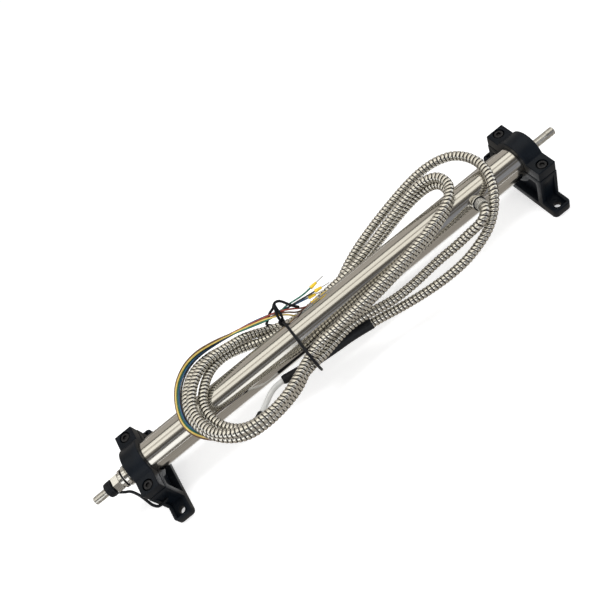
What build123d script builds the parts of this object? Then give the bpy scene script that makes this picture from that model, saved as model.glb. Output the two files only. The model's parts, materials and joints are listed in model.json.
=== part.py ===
"""Through-rod linear variable differential transformer on two moulded clamp brackets.

The tube lies along X, the feet stand on Z = 0 and the flexible hose leaves on the -Y side.
The origin lies on the mounting face, in the middle of the four foot holes. Sizes are in millimetres.
"""
from build123d import *
from math import cos, sin, tan, radians, pi
import os

# Housing tube
axis_height = 41.0
tube_outer_r = 16.0
tube_wall = 1.5
tube_half_length = 225.0
tube_edge_chamfer = 0.4

# Moving rod and core
rod_r = 4.0
rod_left_stickout = 44.0
rod_right_stickout = 27.5
rod_tip_chamfer = 0.7
rod_land_left = 10.0
rod_land_right = 7.5
rod_groove_width = 0.8
rod_groove_depth = 0.3
core_r = 5.6
core_length = 130.0
core_collar_length = 4.0
core_collar_r = 5.2
running_clearance = 0.05

# Clamp brackets
bracket_inset = 9.0
bracket_width = 18.0
ring_wall = 4.7
seat_clearance = 0.03
clamp_gap = 1.2
ear_thickness = 10.6
ear_front = 33.4
ear_chamfer = 0.7
ring_edge_fillet = 0.9
ring_root_fillet = 1.5
foot_reach = 49.0
foot_thickness = 9.0
foot_corner_r = 4.0
foot_floor_drop = 2.6
foot_rim = 3.2
foot_lip = 2.2
foot_hole_offset = 41.0
foot_hole_r = 3.3
foot_counterbore_r = 5.4
foot_counterbore_depth = 0.9
scoop_depth = 3.1
scoop_top = 36.5
pocket_web = 5.0
pocket_side = 28.0
pocket_floor = 6.0
ear_seat_thickness = 6.0
pocket_corner_r = 2.0
screw_post_r = 5.0
screw_post_foot = 19.0
scoop_bulge = 0.72
post_sink = 0.5

# Clamp screws, M5 socket head
screw_offset = 27.0
screw_shank_r = 2.5
screw_hole_r = 2.75
screw_head_r = 4.25
screw_head_height = 5.0
screw_head_edge = 0.4
screw_socket_af = 4.0
screw_socket_depth = 2.5
screw_recess_r = 5.2
screw_recess_depth = 5.3
screw_length = 25.0
nut_af = 8.0
nut_height = 4.0
nut_room = 0.1
nut_drop = 11.0
hole_overrun = 1.0

# End caps, bushes and seals
cap_fit = 0.02
cap_length = 16.0
cap_recess = 0.5
bush_r = 7.0
bush_length = 11.0
seal_r = 6.0
seal_length = 3.5
collar_r = 10.0
collar_length = 8.8
gland_r = 8.3
gland_length = 15.6
gland_groove_x = 6.0
gland_groove_width = 1.4
gland_groove_depth = 1.0
gland_bore_gap = 0.3
gland_chamfer = 0.8
collar_chamfer = 0.6

# Coil former and windings
former_bore_r = 6.6
former_tube_r = 7.6
former_flange_r = 12.2
former_flange_width = 3.0
primary_bay = 120.0
spacer_room = 25.0
winding_fill = 0.86
shield_gap = 0.1
shield_wall = 0.8
spacer_bore_r = 7.5

# Lead-out boss and hose
boss_inset = 70.5
boss_angle = 32.0
boss_r = 6.6
boss_bore_r = 3.4
boss_height = 6.6
boss_counterbore_r = 5.5
boss_counterbore_depth = 4.2
boss_sink = 0.9
boss_chamfer = 0.5
hose_r = 4.4
hose_bore_r = 3.0
hose_seat_depth = 1.2
hose_first_run = 10.0
end_sleeve_r = 5.3
end_sleeve_gap = 0.1
shrink_sleeve_r = 5.0
shrink_sleeve_gap = 0.05
shrink_sleeve_start = 0.4
sheath_r = 2.6
breakout_r = 3.4
wire_r = 0.8
crimp_pin_r = 0.5
crimp_pin_length = 8.0
crimp_front_r = 1.25
crimp_back_r = 1.7
crimp_length = 7.2

# Ties
tie_r = 1.1
tie_knot_r = 2.9
rod_tie_r = 7.4
rod_tie_width = 7.0
rod_tie_gap = 0.08
rod_tie_from_nut = 1.28
rod_strand_r = 1.0

# Share of the shorter run that a bend takes up
bend_share = 0.45

# Hose: leaves the boss, then three long loops that overlap on the tube
hose_route = [
    (150.5, -33, 58.5), (142, -37, 56), (131, -34, 50), (115.5, -32, 44), (96.5, -29.5, 40),
    (70.5, -31, 38), (46, -31, 38), (24.5, -25.5, 38), (2.5, -23, 38.5), (-18, -26.5, 39),
    (-31, -31, 41.5), (-44, -34, 45),
    (-60.5, -41, 50), (-79, -51, 56), (-97.5, -53.5, 60.5), (-116.5, -52.5, 62.5), (-130, -41.5, 63),
    (-138, -23.5, 63), (-138, -6, 63), (-130, 6.5, 62), (-119.5, 21, 56), (-104.5, 29.5, 48.5),
    (-87.5, 30, 41),
    (-60, 20.7, 37), (-36, 20.3, 35.5), (-12, 20.5, 34.5), (12, 22, 36), (31, 20.5, 39.5),
    (51.5, 24, 41), (74.5, 28, 45), (98, 31.5, 50.5),
    (119.5, 31.5, 60), (134.5, 27.5, 67), (144.5, 18, 71), (144.5, 2, 71.5), (132, -9.5, 71),
    (115, -16, 70.5), (91, -22, 69), (67, -25, 66), (41, -26.5, 63), (14.5, -28, 60),
    (-10, -28.5, 57), (-30, -28, 55),
    (-46, -34.5, 55.5), (-64, -47, 60.5), (-84, -56.5, 66), (-106.5, -59.5, 70), (-125.5, -55, 72),
    (-140.5, -41.5, 72), (-146.5, -22, 71.5), (-144.5, -5, 71), (-136, 10, 69.5), (-124, 22, 66),
    (-108, 29, 60.5), (-89, 31, 53), (-74, 33.5, 45),
    (-55, 30.5, 33.5), (-32, 25.5, 26), (-6, 24.6, 25.7), (16, 26.5, 27.2), (39.5, 24.5, 30),
    (60.5, 28, 32.5), (82, 31, 36.5), (100.5, 33, 41.5),
    (118.5, 32, 48.5), (133.5, 27.5, 56), (142.5, 18.5, 62), (143, 4, 62.5), (131.5, -8, 62),
    (114.5, -14.5, 61.5), (93, -19, 60.5), (68, -23, 57.5), (41.5, -25, 54), (14.5, -25.5, 50),
    (-14, -21.5, 48.5), (-31, -21, 45),
    (-45, -26, 38.5), (-62, -39, 39.5), (-80.5, -48.5, 46), (-102, -54, 51), (-123, -53, 53.8),
    (-139.5, -42.5, 58.6), (-150, -25.5, 61), (-152.5, -6, 62), (-147, 11, 62.5), (-135, 28, 59),
    (-119.5, 37.5, 52), (-104, 40.5, 45), (-88.5, 38, 36.5),
    (-64, 26, 27.5), (-46, 18, 25), (-24, 15, 24), (-6, 17, 20.5), (9, 24, 16.5),
    (23, 32.5, 20.5), (43, 39, 28), (60.5, 41.5, 35), (80, 44, 40.5), (100, 45.5, 46),
    (122, 47.5, 50.5), (143, 47, 55), (159.5, 41.5, 59), (172.5, 31.5, 61.5), (179.5, 13.5, 62.5),
    (177.5, -6, 62.5), (169.5, -21.5, 60), (160.5, -31, 52.5), (147, -39, 45), (131.5, -43, 40.5),
    (112.5, -46, 37.5), (90.5, -44.5, 34), (67.5, -40.5, 31), (44, -35, 29), (31, -31.5, 28.5),
]
# The shrink sleeve's points: the hose ends between the first two, the inner sheath goes on from there
sleeve_route = [(2, -26, 28.5), (-20, -24.5, 28.5), (-42, -23, 29), (-58, -22, 31), (-73, -20.5, 34)]
sheath_route = [(-85, -25, 36.5), (-97, -33, 40), (-103, -37.6, 42.2)]
breakout_end = (-108, -41.5, 44)

# Six loose wires: middle of the bundle with its twist in degrees, each wire's place in it, its own end
bundle_route = [
    (-130.5, -41.5, 49.5, 0), (-151, -28.5, 52.5, 0), (-161, -11, 58.5, 0), (-157, 10.5, 61.5, 8),
    (-145.5, 31, 61, 30), (-124.5, 44, 58, 62), (-94, 42, 54, 98), (-70.5, 37, 51.5, 135),
    (-51, 30, 52, 171),
]
bundle_places = {
    "yellow": (2.6, 0), "green": (0.9, 0.9), "black": (-0.9, 0.9),
    "blue": (-2.6, 0), "red": (-0.9, -0.9), "brown": (0.9, -0.9),
}
wire_ends = {
    "yellow": [
        (-44, 25.3, 52.2), (-37, 22, 51.7), (-32, 18.9, 49.4), (-29, 17.6, 45.2), (-25.5, 17.7, 42.4),
        (-20, 17.9, 41.9),
    ],
    "brown": [
        (-44, 26.8, 53.3), (-37, 23.3, 53.1), (-30, 19.6, 52.2), (-26, 17.8, 48.8), (-20.5, 17.4, 46),
        (-15, 17.5, 44.7), (-10.5, 17.8, 43.7),
    ],
    "red": [
        (-44, 28.3, 54.4), (-37, 24.7, 54.4), (-30, 21.2, 53.9), (-24, 18.6, 52), (-18.5, 17.4, 49.3),
        (-12, 17.4, 47.1), (-5.5, 17.5, 45.2), (0.5, 17.8, 43.9),
    ],
    "blue": [
        (-44, 29, 52.5), (-37, 27, 53.7), (-30, 25.3, 55.3), (-22, 22, 57.2), (-12, 19.5, 58.5),
        (-3, 20.5, 58.5),
    ],
    "black": [
        (-44, 27.6, 51.4), (-37, 25.6, 52.5), (-30, 23.9, 53.9), (-22, 21, 55), (-11, 18, 56),
        (-2, 16.5, 56),
    ],
    "green": [
        (-44, 26, 50.5), (-37, 24.3, 51.2), (-30, 22.8, 51.9), (-22, 21.6, 52), (-16, 20.4, 51.8),
        (-9.5, 18, 52.5),
    ],
}

# Tie: tail, bow over the wires, then round the hoses and the tube to its knot
tie_route = [
    (-21.5, 19.5, 48.2), (-23.5, 23, 48.6), (-26, 26.8, 50.8), (-28.5, 29.8, 55.8), (-32, 31.2, 61.8),
    (-38, 32, 63.5), (-44, 33.5, 60), (-47, 34.5, 52), (-46, 35.3, 42), (-44.5, 35.2, 31),
    (-43, 30.7, 22), (-42.5, 19, 18.3), (-42, 6, 21.5), (-42, -7, 22.5), (-41.5, -18, 21.5),
    (-41, -27, 21.5), (-40.5, -32.5, 27), (-40, -37.5, 35), (-40, -40, 43.5), (-40, -40.3, 53),
    (-40, -36.8, 61), (-40, -27, 62.5), (-40, -15, 60.5), (-40, -3, 59), (-40, 7, 57.5),
    (-40.5, 14, 53), (-41, 18, 47.5),
]
tie_knot = (-41.5, 20, 45.5)
tie_strand = [(-41.5, 20, 45.5), (-40.5, 19, 51), (-38.5, 21.5, 57), (-37, 27, 58.5), (-37, 28.5, 61)]
# Strand of the rod tie: distances outward from the tube's left end, then y and height above the axis
rod_strand_route = [
    (27.5, -5.5, 3.5), (20, -11, 4.5), (12.5, -15.5, 4), (4, -29, 0), (1.5, -36, -6),
    (-3.5, -36.5, -12.5), (-8, -32.4, -18.5),
]

AXIS = Pos(0, 0, axis_height)


def turned(profile):
    """Solid of revolution about the tube axis from (x, radius) pairs."""
    face = make_face(Polyline([(x, 0, r) for x, r in profile], close=True))
    return AXIS * revolve(face, Axis.X, 360)


def collar_ring(x0, x1, inner, outer):
    """Plain ring about the tube axis."""
    return turned([(x0, inner), (x1, inner), (x1, outer), (x0, outer)])


def along_x(sketch, x0, x1):
    """A sketch in the Y-Z plane, extruded from x0 to x1."""
    return extrude(Plane.YZ.offset(x0) * sketch, x1 - x0)


def rod_left_reach():
    return tube_half_length + rod_left_stickout


def rod_right_reach():
    return tube_half_length + rod_right_stickout


def bracket_offset():
    """Distance of each bracket's middle from the origin."""
    return tube_half_length - bracket_inset


def boss_reach():
    """Distance of the boss's outer face from the tube's axis."""
    return tube_outer_r + boss_height


def boss_x():
    return tube_half_length - boss_inset


def clamp_bore():
    """Radius of the hole that the two bracket halves close round the tube."""
    return tube_outer_r + seat_clearance


def ring_outer():
    return clamp_bore() + ring_wall


def make_clamp_cap(x_mid):
    """Upper bracket half: a half ring with a flat, counterbored ear on each side."""
    half = bracket_width / 2
    ring = Pos(0, axis_height) * Circle(ring_outer())
    ears = Pos(0, axis_height + ear_thickness / 2) * Rectangle(2 * ear_front, ear_thickness)
    above = Pos(0, axis_height + ring_outer()) * Rectangle(4 * ring_outer(), 2 * ring_outer())
    outline = (ring & above) + ears - Pos(0, axis_height) * Circle(clamp_bore())
    outline = outline & above
    root_y = (ring_outer() ** 2 - ear_thickness ** 2) ** 0.5
    roots = [v for v in outline.vertices() if abs(abs(v.X) - root_y) < 0.01 and v.Y > axis_height + 1]
    outline = fillet(roots, ring_root_fillet)
    body = along_x(outline, x_mid - half, x_mid + half)
    crown = [
        e for e in body.edges()
        if e.geom_type == GeomType.CIRCLE and abs(e.radius - ring_outer()) < 0.01
    ]
    body = fillet(crown, ring_edge_fillet)
    top = axis_height + ear_thickness
    ear_edges = [
        e for e in body.edges()
        if abs(e.center().Z - top) < 0.01 and abs(abs(e.center().Y) - ear_front) < 0.01
    ]
    body = chamfer(ear_edges, ear_chamfer)
    for side in (-1, 1):
        at = Pos(x_mid, side * screw_offset, top)
        body -= at * Pos(0, 0, -ear_thickness / 2) * Cylinder(screw_hole_r, ear_thickness + hole_overrun)
        body -= at * Pos(0, 0, -screw_recess_depth / 2) * Cylinder(screw_recess_r, screw_recess_depth)
    return body


def foot_channel(side):
    """Cut that scoops the front wall and sinks the foot's top between its two rims."""
    floor = foot_thickness - foot_floor_drop
    deep = ear_front - scoop_depth
    mid_z = (scoop_top + floor) / 2
    mid_y = ear_front - scoop_depth * scoop_bulge
    wall = ThreePointArc((ear_front, scoop_top), (mid_y, mid_z), (deep, floor))
    rest = Polyline(
        (deep, floor), (foot_reach - foot_lip, floor), (foot_reach - foot_lip, foot_thickness + hole_overrun),
        (foot_reach, foot_thickness + hole_overrun), (foot_reach, scoop_top), (ear_front, scoop_top),
    )
    face = make_face(wall + rest)
    if side < 0:
        face = mirror(face, Plane.YZ)
    return face


def make_clamp_base(x_mid):
    """Lower bracket half: saddle, ribbed front walls and feet, cored out from both faces."""
    half = bracket_width / 2
    outward = 1 if x_mid > 0 else -1
    top = axis_height - clamp_gap
    block = Pos(0, top / 2) * Rectangle(2 * ear_front, top)
    feet = Pos(0, foot_thickness / 2) * Rectangle(2 * foot_reach, foot_thickness)
    saddle = Pos(0, axis_height) * Circle(clamp_bore())
    body = along_x(block + feet - saddle, x_mid - half, x_mid + half)
    corners = [
        e for e in body.edges().filter_by(Axis.Z)
        if abs(abs(e.center().Y) - foot_reach) < 0.01
    ]
    body = fillet(corners, foot_corner_r)
    toes = [
        e for e in body.edges()
        if abs(e.center().Z - foot_thickness) < 0.01 and abs(e.center().Y) > foot_reach - foot_corner_r
    ]
    body = chamfer(toes, ear_chamfer)
    channel_half = half - foot_rim
    for side in (-1, 1):
        body -= along_x(foot_channel(side), x_mid - channel_half, x_mid + channel_half)
    pocket_top = top - ear_seat_thickness
    window = Rectangle(2 * pocket_side, pocket_top - pocket_floor)
    window = Pos(0, (pocket_top + pocket_floor) / 2) * window
    window -= Pos(0, axis_height) * Circle(ring_outer())
    window = fillet(window.vertices(), pocket_corner_r)
    web = pocket_web / 2
    body -= along_x(window, x_mid + web, x_mid + half)
    body -= along_x(window, x_mid - half, x_mid - web)
    post_height = top - screw_post_foot
    for side in (-1, 1):
        at = Pos(x_mid, side * screw_offset, 0)
        post = at * Pos(0, 0, screw_post_foot + post_height / 2) * Cylinder(screw_post_r, post_height)
        reach = Pos(0, top / 2) * Rectangle(2 * (pocket_side + post_sink), top)
        limit = along_x(reach, x_mid - half, x_mid + half)
        body += post & limit
    for side in (-1, 1):
        at = Pos(x_mid, side * screw_offset, 0)
        hole_depth = screw_length + ear_thickness
        body -= at * Pos(0, 0, top - hole_depth / 2 + ear_thickness) * Cylinder(screw_hole_r, hole_depth)
        nut_outline = RegularPolygon(nut_af / 2 + nut_room, 6, major_radius=False)
        nut_slot = extrude(nut_outline, nut_height + 2 * nut_room)
        body -= at * Pos(0, 0, top - nut_drop - nut_room) * nut_slot
        way_in = Box(2 * bracket_width, nut_af + 2 * nut_room, nut_height + 2 * nut_room)
        body -= at * Pos(outward * bracket_width, 0, top - nut_drop + nut_height / 2) * way_in
        foot = Pos(x_mid, side * foot_hole_offset, 0)
        floor = foot_thickness - foot_floor_drop
        body -= foot * Pos(0, 0, floor / 2) * Cylinder(foot_hole_r, 2 * floor)
        sink = foot_counterbore_depth
        middle = floor - sink / 2 + hole_overrun / 2
        body -= foot * Pos(0, 0, middle) * Cylinder(foot_counterbore_r, sink + hole_overrun)
    return body


def clamp_screw():
    """Socket head cap screw with its head's seat at Z = 0 and its shank below."""
    shank = Pos(0, 0, -screw_length / 2) * Cylinder(screw_shank_r, screw_length)
    head = Pos(0, 0, screw_head_height / 2) * Cylinder(screw_head_r, screw_head_height)
    head = chamfer(head.edges().group_by(Axis.Z)[-1], screw_head_edge)
    socket = extrude(RegularPolygon(screw_socket_af / 2, 6, major_radius=False), screw_socket_depth)
    return shank + head - Pos(0, 0, screw_head_height - screw_socket_depth) * socket


def clamp_nut():
    """Hex nut with its lower face at Z = 0, bored to the screw's shank."""
    hexagon = RegularPolygon(nut_af / 2, 6, major_radius=False) - Circle(screw_shank_r + cap_fit)
    return extrude(hexagon, nut_height)


def screw_places():
    return [(x, y) for x in (-bracket_offset(), bracket_offset()) for y in (-screw_offset, screw_offset)]


def tube_inner():
    return tube_outer_r - tube_wall


def boss_frame():
    """Plane at the tube axis whose Z runs out along the boss."""
    out = Vector(0, -cos(radians(boss_angle)), sin(radians(boss_angle)))
    return Plane(origin=(boss_x(), 0, axis_height), x_dir=(1, 0, 0), z_dir=out)


def boss_cylinder(r, low, high):
    """Cylinder along the boss from one distance off the tube axis to another."""
    return boss_frame() * Pos(0, 0, (low + high) / 2) * Cylinder(r, high - low)


def boss_point(distance):
    """Point on the boss's axis at a distance from the tube's axis."""
    at = boss_frame().from_local_coords(Vector(0, 0, distance))
    return (at.X, at.Y, at.Z)


def hose_seat():
    """How far from the tube's axis the hose starts."""
    return boss_reach() - boss_counterbore_depth + end_sleeve_gap + hose_seat_depth


def make_housing_tube():
    tube = collar_ring(-tube_half_length, tube_half_length, tube_inner(), tube_outer_r)
    ends = tube.edges().filter_by(GeomType.CIRCLE).filter_by(lambda e: abs(e.radius - tube_outer_r) < 0.01)
    tube = chamfer(ends, tube_edge_chamfer)
    return tube - boss_cylinder(boss_bore_r, 0, boss_reach())


def make_cable_boss():
    """Boss saddled to the tube, with a stepped bore for the hose's end sleeve."""
    boss = boss_cylinder(boss_r, tube_outer_r - boss_sink, boss_reach())
    outward = Axis(boss_frame().origin, boss_frame().z_dir)
    rim = boss.edges().filter_by(GeomType.CIRCLE).sort_by(outward)[-1]
    boss = chamfer(rim, boss_chamfer)
    seat = Pos(0, axis_height) * Circle(tube_outer_r + cap_fit)
    boss -= along_x(seat, boss_x() - boss_reach(), boss_x() + boss_reach())
    boss -= boss_cylinder(boss_bore_r, 0, boss_reach() + hole_overrun)
    shoulder = boss_reach() - boss_counterbore_depth
    return boss - boss_cylinder(boss_counterbore_r, shoulder, boss_reach() + hole_overrun)


def make_hose_ferrule():
    """Turned sleeve on the hose's end, seated in the boss."""
    foot = hose_seat() - hose_seat_depth
    lip = boss_reach() + hose_seat_depth
    sleeve = boss_cylinder(end_sleeve_r, foot, lip)
    sleeve -= boss_cylinder(hose_bore_r, foot - hole_overrun, lip + hole_overrun)
    return sleeve - boss_cylinder(hose_r + shrink_sleeve_gap, hose_seat(), lip + hole_overrun)


def end_cap(side):
    """Plug inside one end of the tube, with a stepped bore for bush and seal."""
    inner = tube_half_length - cap_length
    bore = bush_r + cap_fit
    profile = [
        (inner, bore),
        (inner + bush_length + cap_fit, bore),
        (inner + bush_length + cap_fit, seal_r + cap_fit),
        (tube_half_length - cap_recess, seal_r + cap_fit),
        (tube_half_length - cap_recess, tube_inner() - cap_fit),
        (inner, tube_inner() - cap_fit),
    ]
    return turned([(side * x, r) for x, r in profile])


def guide_bush(side):
    inner = tube_half_length - cap_length
    ends = sorted((side * inner, side * (inner + bush_length)))
    return collar_ring(*ends, rod_r + running_clearance, bush_r)


def wiper_seal(side):
    low = tube_half_length - cap_length + bush_length + 2 * cap_fit
    return collar_ring(*sorted((side * low, side * (low + seal_length))), rod_r + running_clearance, seal_r)


def nut_nose():
    """How far from the origin the nut's nose reaches."""
    return tube_half_length - cap_recess + cap_fit + collar_length + gland_length


def make_gland_nut():
    """Stepped nut at the left end: broad collar, groove and a smaller nose round the rod."""
    start = tube_half_length - cap_recess + cap_fit
    shoulder = start + collar_length
    nose = nut_nose()
    groove = shoulder + gland_groove_x
    bore = rod_r + gland_bore_gap
    profile = [
        (start, bore), (start, collar_r), (shoulder - collar_chamfer, collar_r),
        (shoulder, collar_r - collar_chamfer),
        (shoulder, gland_r), (groove, gland_r), (groove, gland_r - gland_groove_depth),
        (groove + gland_groove_width, gland_r - gland_groove_depth), (groove + gland_groove_width, gland_r),
        (nose - gland_chamfer, gland_r), (nose, gland_r - gland_chamfer), (nose, bore),
    ]
    return turned([(-x, r) for x, r in profile])


def former_half():
    """Half the former's length: what the end caps and spacers leave of the tube."""
    return tube_half_length - cap_length - spacer_room


def make_coil_former():
    """Bobbin with a middle bay for the primary and one bay each side for the secondaries."""
    half = former_half()
    body = collar_ring(-half, half, former_bore_r, former_tube_r)
    first = primary_bay / 2
    for low in (first, half - former_flange_width):
        for side in (-1, 1):
            ends = sorted((side * low, side * (low + former_flange_width)))
            body += collar_ring(*ends, former_bore_r, former_flange_r)
    return body


def winding(x0, x1):
    depth = (former_flange_r - former_tube_r) * winding_fill
    return collar_ring(x0 + cap_fit, x1 - cap_fit, former_tube_r + cap_fit, former_tube_r + depth)


def secondary(side):
    low = primary_bay / 2 + former_flange_width
    high = former_half() - former_flange_width
    return winding(*sorted((side * low, side * high)))


def make_magnetic_shield():
    inner = former_flange_r + shield_gap
    return collar_ring(-former_half(), former_half(), inner, inner + shield_wall)


def former_spacer(side):
    """Ring that holds the former off the end cap."""
    low = former_half() + cap_fit
    high = tube_half_length - cap_length - cap_fit
    return collar_ring(*sorted((side * low, side * high)), spacer_bore_r, former_flange_r)


def make_rod():
    """Plain bar with chamfered tips and a shallow groove behind the gripping land at each end."""
    tip = rod_tip_chamfer
    profile = [
        (-rod_left_reach(), 0), (-rod_left_reach(), rod_r - tip), (-rod_left_reach() + tip, rod_r),
        (rod_right_reach() - tip, rod_r), (rod_right_reach(), rod_r - tip), (rod_right_reach(), 0),
    ]
    left = -rod_left_reach() + tip + rod_land_left
    right = rod_right_reach() - tip - rod_land_right
    root = rod_r - rod_groove_depth
    rod = turned(profile)
    rod -= collar_ring(left, left + rod_groove_width, root, rod_r + running_clearance)
    return rod - collar_ring(right - rod_groove_width, right, root, rod_r + running_clearance)


def make_core():
    return collar_ring(-core_length / 2, core_length / 2, rod_r + cap_fit, core_r)


def core_collar(side):
    low = core_length / 2 + cap_fit
    ends = sorted((side * low, side * (low + core_collar_length)))
    return collar_ring(*ends, rod_r + cap_fit, core_collar_r)


def bend_radii(points):
    """Largest bend that each pair of neighbouring runs leaves room for."""
    at = [Vector(*p) for p in points]
    radii = []
    for before, here, after in zip(at, at[1:], at[2:]):
        shorter = min((here - before).length, (after - here).length)
        turn = (here - before).get_angle(after - here)
        radii.append(bend_share * shorter / tan(radians(turn / 2)))
    return radii


def tube_along(name, points, outer, inner=0.0):
    """Round tube or rod along straight runs joined by tangent arcs, checked by its volume."""
    radii = bend_radii(points)
    path = FilletPolyline(*points, radius=radii) if len(points) > 2 else Polyline(*points)
    start = Plane(origin=points[0], z_dir=Vector(*points[1]) - Vector(*points[0]))
    section = start * (Circle(outer) - Circle(inner) if inner else Circle(outer))
    tube = sweep(section, path=path)
    expected = pi * (outer ** 2 - inner ** 2) * path.length
    print(name, "length", round(path.length, 1), "volume ratio", round(tube.volume / expected, 4))
    print(name, "smallest bends", sorted(round(r, 1) for r in radii)[:6])
    return tube


def between(first, second, share):
    """Point on the straight line from one point to another."""
    return tuple(a + (b - a) * share for a, b in zip(first, second))


def hose_points():
    start = [boss_point(hose_seat()), boss_point(hose_seat() + hose_first_run)]
    return start + hose_route + [sleeve_route[0], hose_end()]


def hose_end():
    """The hose stops half way along the sleeve's first full run."""
    return between(sleeve_route[0], sleeve_route[1], 0.5)


def sleeve_points():
    return [between(hose_route[-1], sleeve_route[0], shrink_sleeve_start)] + sleeve_route


def sheath_points():
    return [hose_end()] + sleeve_route[1:] + sheath_route


def make_breakout():
    """Moulded end of the sheath, where the six wires come out."""
    length = (Vector(*breakout_end) - Vector(*sheath_route[-1])).length
    frame = Plane(origin=sheath_route[-1], z_dir=Vector(*breakout_end) - Vector(*sheath_route[-1]))
    return frame * Pos(0, 0, length / 2) * Cylinder(breakout_r, length)


def wire_points(color):
    """The bundle's middle line, moved sideways and up by the wire's place, then the wire's own end."""
    middle = [breakout_end + (0,)] + bundle_route
    line = [Vector(*m[:3]) for m in middle] + [Vector(*wire_ends[color][0])]
    out, up = bundle_places[color]
    points = []
    for i, (x, y, z, twist) in enumerate(middle):
        along = line[i + 1] - line[max(i - 1, 0)]
        side = Vector(0, 0, 1).cross(along).normalized()
        rise = along.cross(side).normalized()
        turn = radians(twist)
        place = Vector(x, y, z) + side * (out * cos(turn) - up * sin(turn))
        place += rise * (out * sin(turn) + up * cos(turn))
        points.append((place.X, place.Y, place.Z))
    return points + wire_ends[color]


def make_crimp(color):
    """Plastic collar and tinned pin pressed on the end of one wire."""
    before, end = [Vector(*p) for p in wire_ends[color][-2:]]
    frame = Plane(origin=end, z_dir=end - before)
    profile = [
        (0, 0), (crimp_back_r, 0), (crimp_front_r, crimp_length), (crimp_pin_r, crimp_length),
        (crimp_pin_r, crimp_length + crimp_pin_length), (0, crimp_length + crimp_pin_length),
    ]
    face = make_face(Polyline([(r, 0, along) for r, along in profile], close=True))
    return frame * revolve(face, Axis.Z, 360)


def make_coil_tie():
    """Coated wire tie: one long bow and wrap, a knot and a short strand over the wires."""
    wrap = tube_along("coil_tie wrap", tie_route + [tie_knot], tie_r)
    strand = tube_along("coil_tie strand", tie_strand, tie_r)
    return wrap + strand + Pos(*tie_knot) * Sphere(tie_knot_r)


def make_rod_tie():
    """Band wound on the rod with a strand that runs to the left bracket."""
    near = -nut_nose() - rod_tie_from_nut
    band = collar_ring(near - rod_tie_width, near, rod_r + rod_tie_gap, rod_tie_r)
    route = [(-tube_half_length - out, y, axis_height + up) for out, y, up in rod_strand_route]
    return band + tube_along("rod_tie strand", route, rod_strand_r)


def main():
    os.makedirs("parts", exist_ok=True)
    parts = {}
    parts["housing_tube"] = make_housing_tube()
    parts["cable_boss"] = make_cable_boss()
    parts["hose_ferrule"] = make_hose_ferrule()
    for name, side in (("front", -1), ("rear", 1)):
        parts[name + "_end_cap"] = end_cap(side)
        parts[name + "_guide_bush"] = guide_bush(side)
        parts[name + "_wiper_seal"] = wiper_seal(side)
        parts[name + "_former_spacer"] = former_spacer(side)
        parts[name + "_core_collar"] = core_collar(side)
    parts["front_gland_nut"] = make_gland_nut()
    parts["coil_former"] = make_coil_former()
    parts["primary_winding"] = winding(-primary_bay / 2, primary_bay / 2)
    parts["secondary_winding_a"] = secondary(-1)
    parts["secondary_winding_b"] = secondary(1)
    parts["magnetic_shield"] = make_magnetic_shield()
    parts["core_rod"] = make_rod()
    parts["sliding_core"] = make_core()
    for name, x_mid in (("left", -bracket_offset()), ("right", bracket_offset())):
        parts[name + "_clamp_cap"] = make_clamp_cap(x_mid)
        parts[name + "_clamp_base"] = make_clamp_base(x_mid)
    seat = axis_height + ear_thickness - screw_recess_depth
    screws = [Pos(x, y, seat) * clamp_screw() for x, y in screw_places()]
    parts["clamp_screws"] = Compound(children=screws)
    nut_floor = axis_height - clamp_gap - nut_drop
    nuts = [Pos(x, y, nut_floor) * clamp_nut() for x, y in screw_places()]
    parts["clamp_nuts"] = Compound(children=nuts)
    parts["lead_hose"] = tube_along("lead_hose", hose_points(), hose_r)
    bore = hose_r + shrink_sleeve_gap
    parts["heat_shrink_sleeve"] = tube_along("heat_shrink_sleeve", sleeve_points(), shrink_sleeve_r, bore)
    parts["lead_sheath"] = tube_along("lead_sheath", sheath_points(), sheath_r)
    parts["lead_breakout"] = make_breakout()
    for color in bundle_places:
        parts["wire_" + color] = tube_along("wire_" + color, wire_points(color), wire_r)
        parts["ferrule_" + color] = make_crimp(color)
    parts["coil_tie"] = make_coil_tie()
    parts["rod_tie"] = make_rod_tie()
    for name, shape in parts.items():
        export_step(shape, os.path.join("parts", name + ".step"))
        print(name, round(shape.volume))


main()
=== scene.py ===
"""Looks of a through-rod linear variable differential transformer with its coiled hose and wires.

Everything is in metres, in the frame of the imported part: the tube lies along X and the feet stand
on Z = 0.
"""
import json
import math

import bmesh
import bpy
from mathutils import Matrix, Vector


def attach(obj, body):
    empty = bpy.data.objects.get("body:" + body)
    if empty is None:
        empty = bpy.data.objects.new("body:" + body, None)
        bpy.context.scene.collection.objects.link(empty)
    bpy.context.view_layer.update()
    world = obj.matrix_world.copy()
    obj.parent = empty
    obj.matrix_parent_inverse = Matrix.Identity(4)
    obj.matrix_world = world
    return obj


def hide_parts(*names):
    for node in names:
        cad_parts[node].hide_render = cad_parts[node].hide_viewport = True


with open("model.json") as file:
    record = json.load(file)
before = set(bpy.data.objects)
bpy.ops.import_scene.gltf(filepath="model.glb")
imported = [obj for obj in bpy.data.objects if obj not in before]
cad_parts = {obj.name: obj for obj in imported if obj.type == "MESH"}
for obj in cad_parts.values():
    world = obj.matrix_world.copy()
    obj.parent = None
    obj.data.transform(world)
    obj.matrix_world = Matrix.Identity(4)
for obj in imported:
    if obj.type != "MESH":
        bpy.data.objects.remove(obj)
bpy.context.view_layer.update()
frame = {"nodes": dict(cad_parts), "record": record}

axis_height = 0.041

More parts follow.
